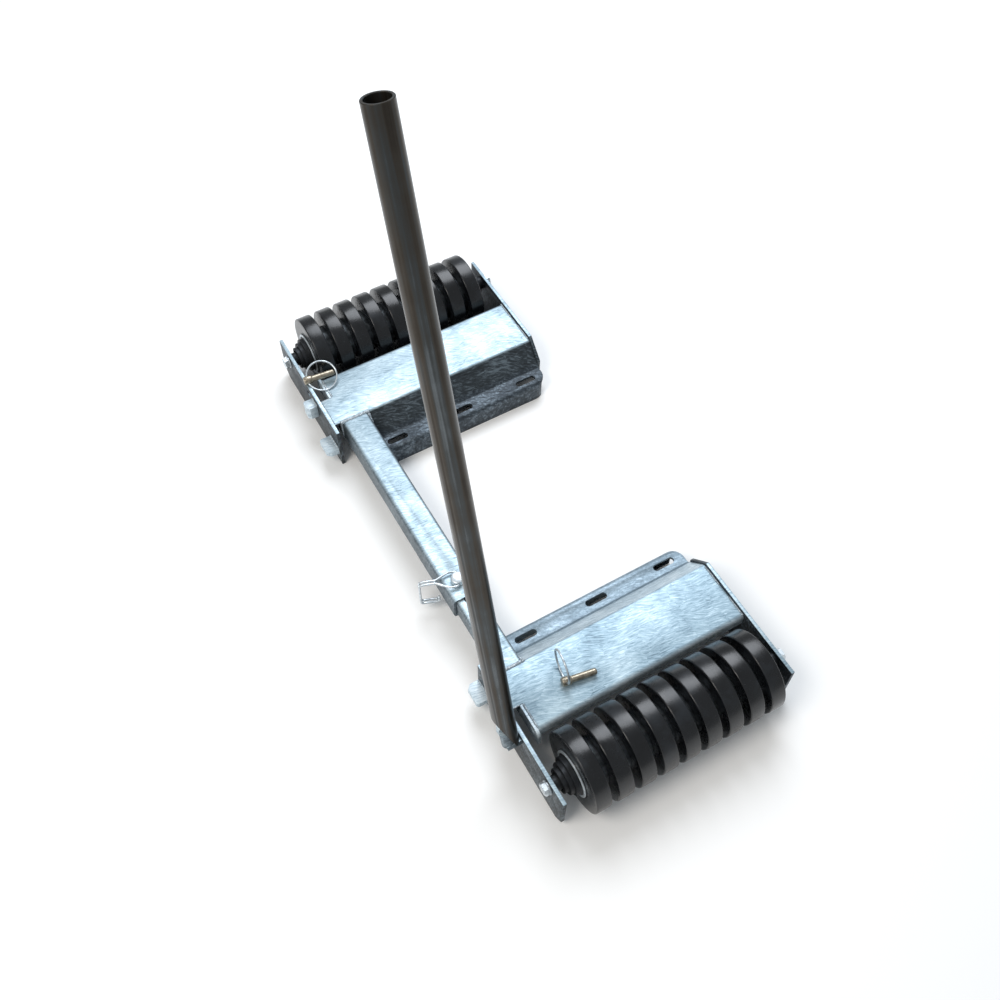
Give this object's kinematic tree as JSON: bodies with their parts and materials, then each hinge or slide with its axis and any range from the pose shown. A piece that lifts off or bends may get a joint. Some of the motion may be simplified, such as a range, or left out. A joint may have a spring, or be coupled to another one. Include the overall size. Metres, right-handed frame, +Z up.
{
  "type": "wheel cradle",
  "caption": "Adjustable wheel cradle: two low folded-steel units, each with a rubber-ringed roller, joined by a pinned telescoping square beam, with a removable lever pipe.",
  "frame": {"origin": "on the floor, in the middle of the footprint", "axes": "+Z up; +Y across the gap from the near unit, which carries the lever, to the far unit; +X along the rollers, away from the beam"},
  "size_m": [0.4566, 1.056, 0.9978],
  "materials": {
    "galvanised_steel": "hot-dip galvanised, cloudy",
    "black_rubber": "moulded, semi-matt",
    "zinc_hardware": "bright zinc plated",
    "yellow_zinc": "yellow passivated zinc",
    "dark_steel": "bare dark steel"
  },
  "bodies": {
    "far_frame": {"far_deck": "galvanised_steel", "far_left_side_plate": "galvanised_steel", "far_right_side_plate": "galvanised_steel", "far_corner_ear": "galvanised_steel", "far_stop_lug": "galvanised_steel", "far_upper_lug": "galvanised_steel", "outer_beam_tube": "galvanised_steel", "far_axle": "zinc_hardware", "far_left_axle_bolt": "zinc_hardware", "far_left_washer": "zinc_hardware", "far_right_axle_bolt": "zinc_hardware", "far_right_washer": "zinc_hardware"},
    "near_frame": {"near_deck": "galvanised_steel", "near_left_side_plate": "galvanised_steel", "near_right_side_plate": "galvanised_steel", "near_corner_ear": "galvanised_steel", "near_stop_lug": "galvanised_steel", "near_upper_lug": "galvanised_steel", "near_lever_stub": "galvanised_steel", "inner_beam_tube": "galvanised_steel", "near_axle": "zinc_hardware", "near_left_axle_bolt": "zinc_hardware", "near_left_washer": "zinc_hardware", "near_right_axle_bolt": "zinc_hardware", "near_right_washer": "zinc_hardware"},
    "far_roller": {"far_left_bearing_housing": "dark_steel", "far_left_bearing": "zinc_hardware", "far_right_bearing_housing": "dark_steel", "far_right_bearing": "zinc_hardware", "far_roller_tube": "galvanised_steel", "far_rubber_ring_1": "black_rubber", "far_rubber_ring_2": "black_rubber", "far_rubber_ring_3": "black_rubber", "far_rubber_ring_4": "black_rubber", "far_rubber_ring_5": "black_rubber", "far_rubber_ring_6": "black_rubber", "far_rubber_ring_7": "black_rubber", "far_rubber_ring_8": "black_rubber", "far_rubber_ring_9": "black_rubber"},
    "near_roller": {"near_left_bearing_housing": "dark_steel", "near_left_bearing": "zinc_hardware", "near_right_bearing_housing": "dark_steel", "near_right_bearing": "zinc_hardware", "near_roller_tube": "galvanised_steel", "near_rubber_ring_1": "black_rubber", "near_rubber_ring_2": "black_rubber", "near_rubber_ring_3": "black_rubber", "near_rubber_ring_4": "black_rubber", "near_rubber_ring_5": "black_rubber", "near_rubber_ring_6": "black_rubber", "near_rubber_ring_7": "black_rubber", "near_rubber_ring_8": "black_rubber", "near_rubber_ring_9": "black_rubber"},
    "lever": {"lever_pipe": "galvanised_steel"},
    "beam_pin": {"beam_pin": "zinc_hardware"},
    "beam_pin_clip": {"beam_pin_clip": "zinc_hardware"},
    "near_linch_pin": {"near_linch_pin": "yellow_zinc"},
    "near_linch_ring": {"near_linch_ring": "zinc_hardware"},
    "far_linch_pin": {"far_linch_pin": "yellow_zinc"},
    "far_linch_ring": {"far_linch_ring": "zinc_hardware"}
  },
  "joints": [
    {"name": "beam_slide", "type": "slide", "parent": "far_frame", "child": "near_frame", "axis": [0, 1, 0], "range_m": [-0.14, 0.07]},
    {"name": "far_roller_spin", "type": "hinge", "parent": "far_frame", "child": "far_roller", "pos_m": [0.0117, 0.4615, 0.071], "axis": [1, 0, 0], "continuous": true},
    {"name": "near_roller_spin", "type": "hinge", "parent": "near_frame", "child": "near_roller", "pos_m": [0.0117, -0.4615, 0.071], "axis": [1, 0, 0], "continuous": true},
    {"name": "lever_lift", "type": "slide", "parent": "near_frame", "child": "lever", "axis": [0.0236, 0.2956, 0.955], "range_m": [0, 0.08]},
    {"name": "beam_pin_lift", "type": "slide", "parent": "far_frame", "child": "beam_pin", "axis": [0, 0, 1], "range_m": [0, 0.075]},
    {"name": "clip_swing", "type": "hinge", "parent": "beam_pin", "child": "beam_pin_clip", "pos_m": [-0.1483, -0.104, 0.0885], "axis": [0.342, 0.9397, 0], "range_deg": [0, 90]},
    {"name": "near_linch_pin_lift", "type": "slide", "parent": "near_frame", "child": "near_linch_pin", "axis": [0, 0, 1], "range_m": [0, 0.1]},
    {"name": "near_linch_ring_swing", "type": "hinge", "parent": "near_linch_pin", "child": "near_linch_ring", "pos_m": [-0.0913, -0.341, 0.0908], "axis": [0.1405, 0.7967, -0.5878], "range_deg": [-25, 25]},
    {"name": "far_linch_pin_lift", "type": "slide", "parent": "far_frame", "child": "far_linch_pin", "axis": [0, 0, 1], "range_m": [0, 0.1]},
    {"name": "far_linch_ring_swing", "type": "hinge", "parent": "far_linch_pin", "child": "far_linch_ring", "pos_m": [-0.1893, 0.382, 0.0978], "axis": [-0.0923, -0.8781, -0.4695], "range_deg": [0, 85]}
  ]
}
